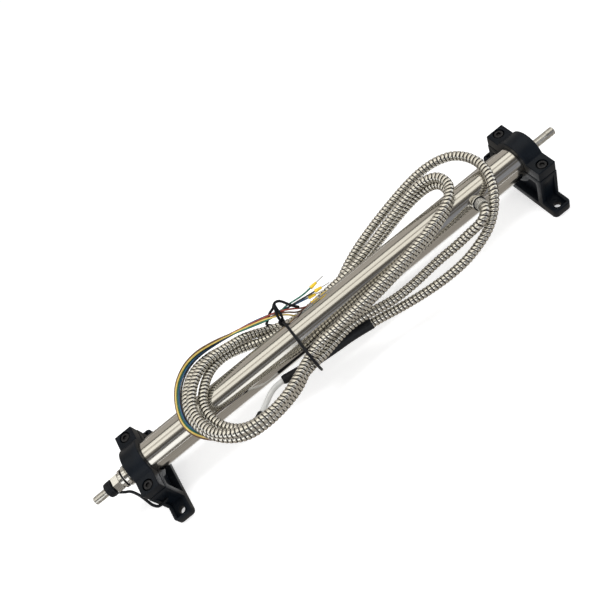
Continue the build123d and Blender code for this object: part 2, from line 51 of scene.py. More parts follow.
# Camera: a long look down on the transducer from its near side, turned so that the tube climbs to
# the right.
camera_place = (-0.02128, -0.33568, 0.54011)
camera_turn = (29.852, 21.598, -33.396)
focal_length_pixels = 678.63
picture_width_pixels = 600
focal_share = focal_length_pixels / picture_width_pixels
camera = bpy.data.cameras.new("camera")
camera.sensor_width = 36.0
camera.lens = camera.sensor_width * focal_share
camera_object = bpy.data.objects.new("camera", camera)
camera_object.location = camera_place
camera_object.rotation_euler = [math.radians(angle) for angle in camera_turn]
bpy.context.collection.objects.link(camera_object)
bpy.context.scene.camera = camera_object
bpy.context.scene.view_settings.view_transform = "Standard"


# Studio: two long soft lamps over the bench, long light and dark cards that only gloss shows, a
# plain white surround and a white floor that keeps the shadow.
lamp_target = (0, 0, 0.04)
card_distance = 0.8
card_length = 2.4
near_light_end = -0.08
floor_card_width = 0.48
floor_card_offset = 0.26
floor_card_lift = 0.0005
surround_fill = 0.45
floor_size = 8.0
floor_drop = 0.0005
floor_glow = 0.5
cream = (1.0, 0.97, 0.88)
warm = (1.0, 0.93, 0.84)
cool = (0.90, 0.92, 1.0)
plain = (1.0, 1.0, 0.98)


def soft_lamp(name, place, size_x, size_y, power):
    """Rectangular lamp that faces the middle of the bench; the cards stand for it in gloss."""
    light = bpy.data.lights.new(name, "AREA")
    light.shape = "RECTANGLE"
    light.size = size_x
    light.size_y = size_y
    light.energy = power
    lamp = bpy.data.objects.new(name, light)
    lamp.location = place
    facing = Vector(lamp_target) - Vector(place)
    lamp.rotation_euler = facing.to_track_quat("-Z", "Y").to_euler()
    lamp.visible_glossy = False
    bpy.context.collection.objects.link(lamp)


def studio_card(name, place, tilt, size_x, size_y, strength, color):
    """Glowing or dark card that only gloss shows, tilted about X."""
    bpy.ops.object.select_all(action="DESELECT")
    bpy.ops.mesh.primitive_plane_add(size=1.0, location=place, rotation=(tilt, 0, 0))
    card = bpy.context.object
    card.name = name
    card.scale = (size_x, size_y, 1)
    card.visible_camera = False
    card.visible_diffuse = False
    card.visible_shadow = False
    paint = bpy.data.materials.new(name + "_paint")
    paint.use_nodes = True
    nodes = paint.node_tree.nodes
    nodes.clear()
    glow = nodes.new("ShaderNodeEmission")
    glow.inputs["Color"].default_value = (*color, 1)
    glow.inputs["Strength"].default_value = strength
    out = nodes.new("ShaderNodeOutputMaterial")
    paint.node_tree.links.new(glow.outputs[0], out.inputs["Surface"])
    card.data.materials.append(paint)


def card_round_tube(name, low, high, x, length, strength, color):
    """Card between two angles about the tube's axis, in degrees from the near side upwards."""
    middle = math.radians((low + high) / 2)
    y = -card_distance * math.cos(middle)
    z = axis_height + card_distance * math.sin(middle)
    width = 2 * card_distance * math.tan(math.radians(high - low) / 2)
    studio_card(name, (x, y, z), math.radians(90) - middle, length, width, strength, color)


def seen_rays(nodes, links, kinds):
    """Socket that is one for light paths of any of the named kinds."""
    rays = nodes.new("ShaderNodeLightPath")
    socket = rays.outputs[kinds[0]]
    for kind in kinds[1:]:
        either = nodes.new("ShaderNodeMath")
        either.operation = "MAXIMUM"
        links.new(socket, either.inputs[0])
        links.new(rays.outputs[kind], either.inputs[1])
        socket = either.outputs[0]
    return socket


soft_lamp("lamp_over", (0, 0.25, 0.95), 1.3, 0.28, 7.0)
soft_lamp("lamp_near", (0, -0.75, 0.45), 1.2, 0.3, 4.0)
for low, high, strength, color in (
    (-5, 14, 0.26, warm), (42, 52, 0.16, warm), (52, 57, 0.3, cool), (57, 74, 0.12, warm),
    (74, 79, 0.5, warm), (79, 97, 1.35, cream), (97, 105, 0.62, warm), (105, 127, 1.35, cream),
    (127, 136, 0.16, warm), (136, 186, 0.55, warm),
):
    card_round_tube("card_" + str(low), low, high, 0, card_length, strength, color)
# The near light stops left of the middle, so that only the tube's left half shows it
near_left = near_light_end - card_length / 4
near_right = near_light_end + card_length / 4
card_round_tube("card_near_left", 14, 42, near_left, card_length / 2, 1.6, plain)
card_round_tube("card_near_right", 14, 42, near_right, card_length / 2, 0.36, cool)
for name, side, strength in (("card_floor_near", -1, 0.4), ("card_floor_far", 1, 0.35)):
    place = (0, side * floor_card_offset, floor_card_lift)
    studio_card(name, place, 0, card_length, floor_card_width, strength, warm)

world = bpy.data.worlds.new("surround")
bpy.context.scene.world = world
world.use_nodes = True
nodes = world.node_tree.nodes
links = world.node_tree.links
nodes.clear()
seen = seen_rays(nodes, links, ("Is Camera Ray", "Is Glossy Ray", "Is Transmission Ray"))
fill = nodes.new("ShaderNodeBackground")
fill.inputs["Color"].default_value = (1, 1, 1, 1)
fill.inputs["Strength"].default_value = surround_fill
white = nodes.new("ShaderNodeBackground")
white.inputs["Color"].default_value = (1, 1, 1, 1)
pick = nodes.new("ShaderNodeMixShader")
out = nodes.new("ShaderNodeOutputWorld")
links.new(seen, pick.inputs["Fac"])
links.new(fill.outputs[0], pick.inputs[1])
links.new(white.outputs[0], pick.inputs[2])
links.new(pick.outputs[0], out.inputs["Surface"])

bpy.ops.object.select_all(action="DESELECT")
bpy.ops.mesh.primitive_plane_add(size=floor_size, location=(0, 0, -floor_drop))
floor = bpy.context.object
floor.name = "floor"
floor_finish = bpy.data.materials.new("white_floor")
floor_finish.use_nodes = True
nodes = floor_finish.node_tree.nodes
links = floor_finish.node_tree.links
nodes.clear()
seen = seen_rays(nodes, links, ("Is Camera Ray", "Is Glossy Ray"))
matt = nodes.new("ShaderNodeBsdfDiffuse")
matt.inputs["Color"].default_value = (0.8, 0.8, 0.8, 1)
dark = nodes.new("ShaderNodeEmission")
dark.inputs["Strength"].default_value = 0.0
glow = nodes.new("ShaderNodeEmission")
glow.inputs["Strength"].default_value = floor_glow
share = nodes.new("ShaderNodeMixShader")
both = nodes.new("ShaderNodeAddShader")
out = nodes.new("ShaderNodeOutputMaterial")
links.new(seen, share.inputs["Fac"])
links.new(dark.outputs[0], share.inputs[1])
links.new(glow.outputs[0], share.inputs[2])
links.new(matt.outputs[0], both.inputs[0])
links.new(share.outputs[0], both.inputs[1])
links.new(both.outputs[0], out.inputs["Surface"])
floor.data.materials.append(floor_finish)


# Helpers for materials: each material has grain in its colour, its roughness or its relief.
noise_low = 0.3
noise_high = 0.7


def finish(name, metallic, roughness, coat=0.0):
    """New material; gives the material, its nodes, its links and its surface shader."""
    made = bpy.data.materials.new(name)
    made.use_nodes = True
    shader = made.node_tree.nodes["Principled BSDF"]
    shader.inputs["Metallic"].default_value = metallic
    shader.inputs["Roughness"].default_value = roughness
    shader.inputs["Coat Weight"].default_value = coat
    return made, made.node_tree.nodes, made.node_tree.links, shader


def noise(nodes, links, scale, stretch=(1, 1, 1), detail=4.0):
    """Noise on Object coordinates, stretched along an axis where asked; gives its socket."""
    place = nodes.new("ShaderNodeTexCoord")
    mapping = nodes.new("ShaderNodeMapping")
    mapping.inputs["Scale"].default_value = stretch
    texture = nodes.new("ShaderNodeTexNoise")
    texture.inputs["Scale"].default_value = scale
    texture.inputs["Detail"].default_value = detail
    links.new(place.outputs["Object"], mapping.inputs["Vector"])
    links.new(mapping.outputs["Vector"], texture.inputs["Vector"])
    return texture.outputs["Fac"]


def tint(nodes, links, shader, socket, dark, light, low=noise_low, high=noise_high):
    """Base colour that runs from one colour to another with a socket."""
    ramp = nodes.new("ShaderNodeValToRGB")
    ramp.color_ramp.elements[0].position = low
    ramp.color_ramp.elements[0].color = (*dark, 1)
    ramp.color_ramp.elements[1].position = high
    ramp.color_ramp.elements[1].color = (*light, 1)
    links.new(socket, ramp.inputs["Fac"])
    links.new(ramp.outputs["Color"], shader.inputs["Base Color"])


def rough(nodes, links, shader, socket, smooth, coarse):
    """Roughness between two values with a socket."""
    span = nodes.new("ShaderNodeMapRange")
    span.inputs["From Min"].default_value = noise_low
    span.inputs["From Max"].default_value = noise_high
    span.inputs["To Min"].default_value = smooth
    span.inputs["To Max"].default_value = coarse
    links.new(socket, span.inputs["Value"])
    links.new(span.outputs["Result"], shader.inputs["Roughness"])


def relief(nodes, links, shader, socket, depth, strength=1.0):
    """Bump of a given depth in metres from a socket."""
    bump = nodes.new("ShaderNodeBump")
    bump.inputs["Distance"].default_value = depth
    bump.inputs["Strength"].default_value = strength
    links.new(socket, bump.inputs["Height"])
    links.new(bump.outputs["Normal"], shader.inputs["Normal"])


# Helpers for shapes: cords follow NURBS lines, turned pieces are straight tubes along X.
def route_line(name, points):
    """NURBS spline with the route's points as its control points."""
    curve = bpy.data.curves.new(name, "CURVE")
    curve.dimensions = "3D"
    curve.resolution_u = 16
    spline = curve.splines.new("NURBS")
    spline.points.add(len(points) - 1)
    for point, place in zip(spline.points, points):
        point.co = (*place, 1)
    spline.order_u = 3
    spline.use_endpoint_u = True
    line = bpy.data.objects.new(name, curve)
    bpy.context.collection.objects.link(line)
    return line


def read_line(line):
    """Points along a bevel-less curve, as Blender evaluates it."""
    bpy.context.view_layer.update()
    mesh = bpy.data.meshes.new_from_object(line)
    points = [vertex.co.copy() for vertex in mesh.vertices]
    bpy.data.meshes.remove(mesh)
    return points


def line_length(points):
    """Length of a line through points."""
    return sum((b - a).length for a, b in zip(points, points[1:]))


def route_length(points):
    """Length of the NURBS line of a route."""
    line = route_line("measured_line", points)
    length = line_length(read_line(line))
    bpy.data.objects.remove(line)
    return length


def keep_only(piece):
    """Deselect all and make one piece active."""
    bpy.ops.object.select_all(action="DESELECT")
    piece.select_set(True)
    bpy.context.view_layer.objects.active = piece


def join_into(piece, others):
    """Join other meshes into a piece."""
    keep_only(piece)
    for other in others:
        other.select_set(True)
    bpy.ops.object.join()


def smooth(piece, angle):
    """Shade smooth, but for edges sharper than an angle in degrees."""
    keep_only(piece)
    bpy.ops.object.shade_smooth_by_angle(angle=math.radians(angle))


def bend_along(piece, line):
    """Lay a straight piece that runs along X on a curve, and apply it."""
    keep_only(piece)
    follow = piece.modifiers.new("follow", "CURVE")
    follow.object = line
    follow.deform_axis = "POS_X"
    bpy.ops.object.modifier_apply(modifier="follow")


def point_along(piece, start, way):
    """Turn a straight piece from X to a direction and move it to a start point."""
    turn = way.to_track_quat("X", "Z").to_matrix().to_4x4()
    piece.data.transform(Matrix.Translation(start) @ turn)


def round_cord(name, points, diameter, material):
    """Smooth solid cord on a NURBS spline."""
    piece = route_line(name, points)
    piece.data.bevel_depth = diameter / 2
    piece.data.bevel_resolution = 5
    piece.data.use_fill_caps = True
    piece.data.materials.append(material)
    return piece


def solid_strand(name, points, diameter, material):
    """Cord on a NURBS spline, made a mesh so that it can be joined."""
    piece = round_cord(name, points, diameter, material)
    keep_only(piece)
    bpy.ops.object.convert(target="MESH")
    return bpy.context.object


def tube_mesh(name, stations, sides):
    """Straight tube along X from (x, radius) stations, open at both ends."""
    bpy.ops.object.select_all(action="DESELECT")
    bpy.ops.mesh.primitive_circle_add(vertices=sides, radius=1.0, rotation=(0, math.pi / 2, 0))
    piece = bpy.context.object
    piece.name = name
    bpy.ops.object.transform_apply(location=False, rotation=True, scale=True)
    bpy.ops.object.mode_set(mode="EDIT")
    bpy.ops.mesh.select_all(action="SELECT")
    x, radius = stations[0]
    bpy.ops.transform.resize(value=(1, radius, radius))
    bpy.ops.transform.translate(value=(x, 0, 0))
    for (x_before, before), (x_after, after) in zip(stations, stations[1:]):
        step = (x_after - x_before, 0, 0)
        bpy.ops.mesh.extrude_region_move(TRANSFORM_OT_translate={"value": step})
        bpy.ops.transform.resize(value=(1, after / before, after / before))
    bpy.ops.mesh.select_all(action="SELECT")
    bpy.ops.mesh.normals_make_consistent(inside=False)
    bpy.ops.object.mode_set(mode="OBJECT")
    return piece


def finished_copy(node, name, material, body="housing", edge=0.0, angle=35):
    """Merged copy of a CAD node with small edge rounds, which takes the node's place."""
    merge_distance = 0.000005
    flat_angle = math.radians(0.5)
    source = frame["nodes"][node]
    piece = bpy.data.objects.new(name, source.data.copy())
    bpy.context.collection.objects.link(piece)
    piece.data.materials.clear()
    piece.data.materials.append(material)
    keep_only(piece)
    if piece.data.has_custom_normals:
        bpy.ops.mesh.customdata_custom_splitnormals_clear()
    bpy.ops.object.mode_set(mode="EDIT")
    bpy.ops.mesh.select_all(action="SELECT")
    bpy.ops.mesh.remove_doubles(threshold=merge_distance)
    bpy.ops.mesh.dissolve_limited(angle_limit=flat_angle)
    bpy.ops.object.mode_set(mode="OBJECT")
    if edge:
        rounds = piece.modifiers.new("rounds", "BEVEL")
        rounds.width = edge
        rounds.segments = 2
        rounds.limit_method = "ANGLE"
        rounds.angle_limit = math.radians(angle)
        bpy.ops.object.modifier_apply(modifier="rounds")
    smooth(piece, angle)
    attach(piece, body)
    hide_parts(node)
    return piece


# Armoured hose: interlocked stainless strip wound on itself, so that it shows rounded ribs with
# narrow grooves, whose near-black colour is painted shade. It leaves the boss on the near side and
# lies in three long loops over the tube, each of them a near run, a turn at the left, a far run and
# a turn at the right.
hose_seat = (0.1545, -0.01671, 0.05144)
hose_first = (0.1545, -0.02519, 0.05674)
hose_route = [
    (0.1505, -0.033, 0.0585), (0.142, -0.037, 0.056), (0.131, -0.034, 0.05),
    (0.1155, -0.032, 0.044), (0.0965, -0.0295, 0.04), (0.0705, -0.031, 0.038),
    (0.046, -0.031, 0.038), (0.0245, -0.0255, 0.038), (0.0025, -0.023, 0.0385),
    (-0.018, -0.0265, 0.039), (-0.031, -0.031, 0.0415), (-0.044, -0.034, 0.045),
    (-0.0605, -0.041, 0.05), (-0.079, -0.051, 0.056), (-0.0975, -0.0535, 0.0605),
    (-0.1165, -0.0525, 0.0625), (-0.13, -0.0415, 0.063), (-0.138, -0.0235, 0.063),
    (-0.138, -0.006, 0.063), (-0.13, 0.0065, 0.062), (-0.1195, 0.021, 0.056),
    (-0.1045, 0.0295, 0.0485), (-0.0875, 0.03, 0.041),
    (-0.06, 0.0207, 0.037), (-0.036, 0.0203, 0.0355), (-0.012, 0.0205, 0.0345),
    (0.012, 0.022, 0.036), (0.031, 0.0205, 0.0395), (0.0515, 0.024, 0.041),
    (0.0745, 0.028, 0.045), (0.098, 0.0315, 0.0505),
    (0.1195, 0.0315, 0.06), (0.1345, 0.0275, 0.067), (0.1445, 0.018, 0.071),
    (0.1445, 0.002, 0.0715), (0.132, -0.0095, 0.071), (0.115, -0.016, 0.0705),
    (0.091, -0.022, 0.069), (0.067, -0.025, 0.066), (0.041, -0.0265, 0.063),
    (0.0145, -0.028, 0.06), (-0.01, -0.0285, 0.057), (-0.03, -0.028, 0.055),
    (-0.046, -0.0345, 0.0555), (-0.064, -0.047, 0.0605), (-0.084, -0.0565, 0.066),
    (-0.1065, -0.0595, 0.07), (-0.1255, -0.055, 0.072), (-0.1405, -0.0415, 0.072),
    (-0.1465, -0.022, 0.0715), (-0.1445, -0.005, 0.071), (-0.136, 0.01, 0.0695),
    (-0.124, 0.022, 0.066), (-0.108, 0.029, 0.0605), (-0.089, 0.031, 0.053),
    (-0.074, 0.0335, 0.045),
    (-0.055, 0.0305, 0.0335), (-0.032, 0.0255, 0.026), (-0.006, 0.0246, 0.0257),
    (0.016, 0.0265, 0.0272), (0.0395, 0.0245, 0.03), (0.0605, 0.028, 0.0325),
    (0.082, 0.031, 0.0365), (0.1005, 0.033, 0.0415),
    (0.1185, 0.032, 0.0485), (0.1335, 0.0275, 0.056), (0.1425, 0.0185, 0.062),
    (0.143, 0.004, 0.0625), (0.1315, -0.008, 0.062), (0.1145, -0.0145, 0.0615),
    (0.093, -0.019, 0.0605), (0.068, -0.023, 0.0575), (0.0415, -0.025, 0.054),
    (0.0145, -0.0255, 0.05), (-0.014, -0.0215, 0.0485), (-0.031, -0.021, 0.045),
    (-0.045, -0.026, 0.0385), (-0.062, -0.039, 0.0395), (-0.0805, -0.0485, 0.046),
    (-0.102, -0.054, 0.051), (-0.123, -0.053, 0.0538), (-0.1395, -0.0425, 0.0586),
    (-0.15, -0.0255, 0.061), (-0.1525, -0.006, 0.062), (-0.147, 0.011, 0.0625),
    (-0.135, 0.028, 0.059), (-0.1195, 0.0375, 0.052), (-0.104, 0.0405, 0.045),
    (-0.0885, 0.038, 0.0365),
    (-0.064, 0.026, 0.0275), (-0.046, 0.018, 0.025), (-0.024, 0.015, 0.024),
    (-0.006, 0.017, 0.0205), (0.009, 0.024, 0.0165), (0.023, 0.0325, 0.0205),
    (0.043, 0.039, 0.028), (0.0605, 0.0415, 0.035), (0.08, 0.044, 0.0405),
    (0.1, 0.0455, 0.046),
    (0.122, 0.0475, 0.0505), (0.143, 0.047, 0.055), (0.1595, 0.0415, 0.059),
    (0.1725, 0.0315, 0.0615), (0.1795, 0.0135, 0.0625), (0.1775, -0.006, 0.0625),
    (0.1695, -0.0215, 0.06), (0.1605, -0.031, 0.0525), (0.147, -0.039, 0.045),
    (0.1315, -0.043, 0.0405), (0.1125, -0.046, 0.0375), (0.0905, -0.0445, 0.034),
    (0.0675, -0.0405, 0.031), (0.044, -0.035, 0.029), (0.031, -0.0315, 0.0285),
]
sleeve_route = [
    (0.002, -0.026, 0.0285), (-0.02, -0.0245, 0.0285), (-0.042, -0.023, 0.029),
    (-0.058, -0.022, 0.031), (-0.073, -0.0205, 0.034),
]
hose_end = tuple((a + b) / 2 for a, b in zip(sleeve_route[0], sleeve_route[1]))
hose_points = [hose_seat, hose_first] + hose_route + [sleeve_route[0], hose_end]
rib_pitch = 0.00366
rib_sides = 18
# Share of the pitch and radius across one rib, from groove to groove
rib_profile = [
    (0.0, 0.0036), (0.1, 0.004), (0.26, 0.0043), (0.5, 0.0044), (0.74, 0.0043), (0.9, 0.004),
    (1.0, 0.0036),
]


def wound_strip(name, profile, pitch, sides, turns):
    """Straight helical tube along X: one turn of the strip, repeated with its edges merged."""
    merge_distance = 0.00002
    mesh = bpy.data.meshes.new(name)
    shape = bmesh.new()
    # Groove depth, 0 on the ribs' crowns and 1 at the bottom of the grooves; the material paints
    # shade into the grooves with it
    groove = shape.verts.layers.float.new("groove")
    deepest = min(radius for share, radius in profile)
    highest = max(radius for share, radius in profile)
    grid = []
    for side in range(sides + 1):
        turn = 2 * math.pi * side / sides
        column = []
        for share, radius in profile:
            x = pitch * (share + side / sides)
            vertex = shape.verts.new((x, radius * math.cos(turn), radius * math.sin(turn)))
            vertex[groove] = (highest - radius) / (highest - deepest)
            column.append(vertex)
        grid.append(column)
    for left, right in zip(grid, grid[1:]):
        for low in range(len(profile) - 1):
            shape.faces.new((left[low], right[low], right[low + 1], left[low + 1]))
    shape.to_mesh(mesh)
    shape.free()
    piece = bpy.data.objects.new(name, mesh)
    bpy.context.collection.objects.link(piece)
    keep_only(piece)
    repeat = piece.modifiers.new("repeat", "ARRAY")
    repeat.count = turns
    repeat.use_relative_offset = False
    repeat.use_constant_offset = True
    repeat.constant_offset_displace = (pitch, 0, 0)
    repeat.use_merge_vertices = True
    repeat.merge_threshold = merge_distance
    bpy.ops.object.modifier_apply(modifier="repeat")
    bpy.ops.object.mode_set(mode="EDIT")
    bpy.ops.mesh.select_all(action="SELECT")
    bpy.ops.mesh.remove_doubles(threshold=merge_distance)
    bpy.ops.mesh.normals_make_consistent(inside=False)
    bpy.ops.object.mode_set(mode="OBJECT")
    return piece


hose_line = route_line("hose_line", hose_points)
hose_path = read_line(hose_line)
hose_length = line_length(hose_path)
rib_count = int(hose_length / rib_pitch) - 1
hose = wound_strip("armoured_hose", rib_profile, rib_pitch, rib_sides, rib_count)
bend_along(hose, hose_line)
bpy.data.objects.remove(hose_line)
smooth(hose, 60)
steel_strip, nodes, links, shader = finish("steel_strip", 1.0, 0.3)
depth = nodes.new("ShaderNodeAttribute")
depth.attribute_name = "groove"
rib_light = (0.78, 0.76, 0.70)
# Painted shade: the colour runs to near black in the grooves, standing in for the shade inside them
groove_painted_shade = (0.012, 0.011, 0.009)
tint(nodes, links, shader, depth.outputs["Fac"], rib_light, groove_painted_shade, 0.2, 0.6)
grain = noise(nodes, links, 900.0)
rough(nodes, links, shader, grain, 0.14, 0.26)
relief(nodes, links, shader, grain, 0.00003)
hose.data.materials.append(steel_strip)
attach(hose, "housing")
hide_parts("lead_hose")


# Shrink sleeve: black tube shrunk over the hose's end, with the ribs showing faintly through it,
# and closed down at its far end on the thinner inner sheath.
sleeve_start_share = 0.4
sleeve_mouth = 0.0046
sleeve_outer = 0.005
sleeve_end_radius = 0.0036
ripple_depth = 0.00012
hose_under_share = 0.42
taper_past_hose = 0.0012
sleeve_start = tuple(
    a + (b - a) * sleeve_start_share for a, b in zip(hose_route[-1], sleeve_route[0])
)
sleeve_line = route_line("sleeve_line", [sleeve_start] + sleeve_route)
sleeve_length = line_length(read_line(sleeve_line))
stations = [(0.0, sleeve_mouth), (0.0, sleeve_outer)]
ripple_count = int(sleeve_length / rib_pitch * 2)
for step in range(1, ripple_count):
    x = sleeve_length * step / ripple_count
    sink = ripple_depth if step % 2 else 0.0
    over_sheath = max(0.0, x / sleeve_length - hose_under_share) * taper_past_hose
    stations.append((x, sleeve_outer - sink - over_sheath))
stations.append((sleeve_length, sleeve_end_radius))
sleeve = tube_mesh("shrink_sleeve", stations, 28)
bend_along(sleeve, sleeve_line)
bpy.data.objects.remove(sleeve_line)
smooth(sleeve, 50)
shrunk_black, nodes, links, shader = finish("shrunk_black", 0.0, 0.5)
shader.inputs["Specular IOR Level"].default_value = 0.25
grain = noise(nodes, links, 300.0)
tint(nodes, links, shader, grain, (0.005, 0.006, 0.008), (0.012, 0.013, 0.016))
rough(nodes, links, shader, grain, 0.36, 0.58)
relief(nodes, links, shader, grain, 0.00006)
sleeve.data.materials.append(shrunk_black)
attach(sleeve, "housing")
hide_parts("heat_shrink_sleeve")


# Inner sheath: the pale jacket of the wires, which comes out of the hose inside the shrink sleeve
# and ends in a moulded black breakout under the hose loops, where the wires part.
sheath_diameter = 0.0052
sheath_route = [
    (-0.086, -0.0198, 0.0315), (-0.0965, -0.03, 0.0365), (-0.103, -0.0376, 0.0422),
]
sheath_points = [hose_end] + sleeve_route[1:] + sheath_route
breakout_end = (-0.108, -0.0415, 0.044)
breakout_round = 0.0006
pale_jacket, nodes, links, shader = finish("pale_jacket", 0.0, 0.45)
grain = noise(nodes, links, 350.0)
tint(nodes, links, shader, grain, (0.68, 0.68, 0.66), (0.78, 0.78, 0.76))
relief(nodes, links, shader, grain, 0.00003)
sheath = round_cord("inner_sheath", sheath_points, sheath_diameter, pale_jacket)
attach(sheath, "housing")
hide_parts("lead_sheath")

breakout_start = Vector(sheath_route[-1])
breakout_way = Vector(breakout_end) - breakout_start
breakout_length = breakout_way.length
breakout = tube_mesh("moulded_breakout", [
    (0, 0.001), (0, 0.0029), (breakout_round, 0.0033),
    (breakout_length - breakout_round, 0.0034), (breakout_length, 0.003),
    (breakout_length, 0.001),
], 24)
point_along(breakout, breakout_start, breakout_way)
smooth(breakout, 40)
breakout.data.materials.append(shrunk_black)
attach(breakout, "housing")
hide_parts("lead_breakout")
sheath_length = route_length(sheath_points)


# Six lead wires: thin stranded wires in glossy coloured insulation. They run as a loose flat bundle
# round the left loop, change places just before the coil tie and end in crimped yellow collars with
# tinned pins.
wire_diameter = 0.0016
# The bundle's middle line, with the bundle's twist in degrees at each point
bundle_route = [
    (-0.1305, -0.0415, 0.0495, 0), (-0.151, -0.0285, 0.0525, 0), (-0.161, -0.011, 0.0585, 0),
    (-0.157, 0.0105, 0.0615, 8), (-0.1455, 0.031, 0.061, 30), (-0.1245, 0.044, 0.058, 62),
    (-0.094, 0.042, 0.054, 98), (-0.0705, 0.037, 0.0515, 160), (-0.051, 0.03, 0.052, 171),
]
# Each wire's place across the bundle, sideways and upwards, before and after the wires cross
bundle_places = {
    "brown": (0.0032, -0.0007), "yellow": (0.002, 0.0005), "green": (0.0006, -0.0005),
    "blue": (-0.001, 0.0005), "black": (-0.0027, -0.0004), "red": (-0.0008, -0.0014),
}
crossed_from = 7
crossed_places = {
    "brown": (0.001, 0.0012), "yellow": (0.0008, -0.0006), "green": (0.0026, 0.0),
    "blue": (-0.0027, -0.0004), "black": (-0.001, 0.0011), "red": (-0.001, -0.0008),
}
wire_ends = {
    "yellow": [
        (-0.044, 0.0253, 0.0522), (-0.037, 0.022, 0.0517), (-0.0325, 0.0192, 0.049),
        (-0.0295, 0.0178, 0.0445), (-0.0255, 0.0173, 0.041), (-0.02, 0.0173, 0.0402),
    ],
    "brown": [
        (-0.044, 0.0268, 0.0533), (-0.037, 0.0233, 0.0531), (-0.0315, 0.0206, 0.0512),
        (-0.028, 0.0194, 0.047), (-0.0235, 0.019, 0.043), (-0.017, 0.019, 0.0415),
        (-0.0105, 0.019, 0.0413),
    ],
    "red": [
        (-0.044, 0.0283, 0.0544), (-0.037, 0.0247, 0.0544), (-0.03, 0.0212, 0.0536),
        (-0.0245, 0.019, 0.0505), (-0.0195, 0.0179, 0.046), (-0.013, 0.0174, 0.043),
        (-0.006, 0.0174, 0.0426), (0.0005, 0.0179, 0.042),
    ],
    "blue": [
        (-0.044, 0.029, 0.0525), (-0.037, 0.0266, 0.0526), (-0.03, 0.0248, 0.0519),
        (-0.022, 0.0218, 0.052), (-0.016, 0.0204, 0.0518), (-0.0095, 0.018, 0.0525),
    ],
    "black": [
        (-0.044, 0.0276, 0.051), (-0.037, 0.0246, 0.0516), (-0.03, 0.0232, 0.0532),
        (-0.022, 0.021, 0.055), (-0.011, 0.018, 0.056), (-0.002, 0.0165, 0.056),
    ],
    "green": [
        (-0.044, 0.0264, 0.0512), (-0.037, 0.025, 0.0532), (-0.03, 0.0246, 0.0554),
        (-0.022, 0.022, 0.0572), (-0.012, 0.0195, 0.0585), (-0.003, 0.0205, 0.0585),
    ],
}
wire_colors = {
    "yellow": ((0.62, 0.44, 0.09), (0.74, 0.56, 0.16)),
    "green": ((0.008, 0.10, 0.065), (0.015, 0.15, 0.10)),
    "black": ((0.010, 0.010, 0.011), (0.02, 0.02, 0.022)),
    "blue": ((0.012, 0.055, 0.13), (0.02, 0.09, 0.19)),
    "red": ((0.22, 0.03, 0.02), (0.33, 0.06, 0.035)),
    "brown": ((0.085, 0.04, 0.022), (0.14, 0.07, 0.04)),
}
collar_stations = [
    (0, 0.0009), (0, 0.0015), (0.0003, 0.0017), (0.0016, 0.00168), (0.0052, 0.00135),
    (0.0069, 0.00125), (0.0072, 0.0011), (0.0072, 0.0005),
]
pin_stations = [
    (0.0070, 0.0003), (0.0070, 0.0005), (0.0090, 0.0005), (0.0094, 0.00044), (0.0102, 0.0005),
    (0.0110, 0.00044), (0.0118, 0.0005), (0.0126, 0.00044), (0.0134, 0.0005), (0.0148, 0.0005),
    (0.0152, 0.00035), (0.0152, 0.0001),
]


def wire_route(color):
    """The bundle's middle line moved to the wire's own place in it, then the wire's own end."""
    middle = [(*breakout_end, 0)] + bundle_route
    line = [Vector(point[:3]) for point in middle] + [Vector(wire_ends[color][0])]
    points = []
    for i, (x, y, z, twist) in enumerate(middle):
        out, up = crossed_places[color] if i > crossed_from else bundle_places[color]
        along = line[i + 1] - line[max(i - 1, 0)]
        side = Vector((0, 0, 1)).cross(along).normalized()
        rise = along.cross(side).normalized()
        turn = math.radians(twist)
        place = Vector((x, y, z)) + side * (out * math.cos(turn) - up * math.sin(turn))
        place += rise * (out * math.sin(turn) + up * math.cos(turn))
        points.append(tuple(place))
    return points + wire_ends[color]


collar_yellow, nodes, links, shader = finish("collar_yellow", 0.0, 0.32)
grain = noise(nodes, links, 500.0)
tint(nodes, links, shader, grain, (0.72, 0.46, 0.02), (0.86, 0.62, 0.05))
relief(nodes, links, shader, grain, 0.00002)
tinned_pin, nodes, links, shader = finish("tinned_pin", 1.0, 0.3)
grain = noise(nodes, links, 1200.0)
tint(nodes, links, shader, grain, (0.5, 0.5, 0.5), (0.75, 0.75, 0.74))
relief(nodes, links, shader, grain, 0.00004)
for color, (shade, light) in wire_colors.items():
    insulation, nodes, links, shader = finish(color + "_insulation", 0.0, 0.28, 0.3)
    grain = noise(nodes, links, 260.0)
    tint(nodes, links, shader, grain, shade, light)
    relief(nodes, links, shader, grain, 0.00002)
    points = wire_route(color)
    wire = round_cord(color + "_wire", points, wire_diameter, insulation)
    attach(wire, "housing")
    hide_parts("wire_" + color)
    before, end = Vector(points[-2]), Vector(points[-1])
    collar = tube_mesh(color + "_wire_collar", collar_stations, 20)
    pin = tube_mesh(color + "_wire_pin", pin_stations, 12)
    collar.data.materials.append(collar_yellow)
    pin.data.materials.append(tinned_pin)
    join_into(collar, [pin])
    point_along(collar, end, end - before)
    smooth(collar, 45)
    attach(collar, "housing")
    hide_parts("ferrule_" + color)
    round(route_length(points), 3)


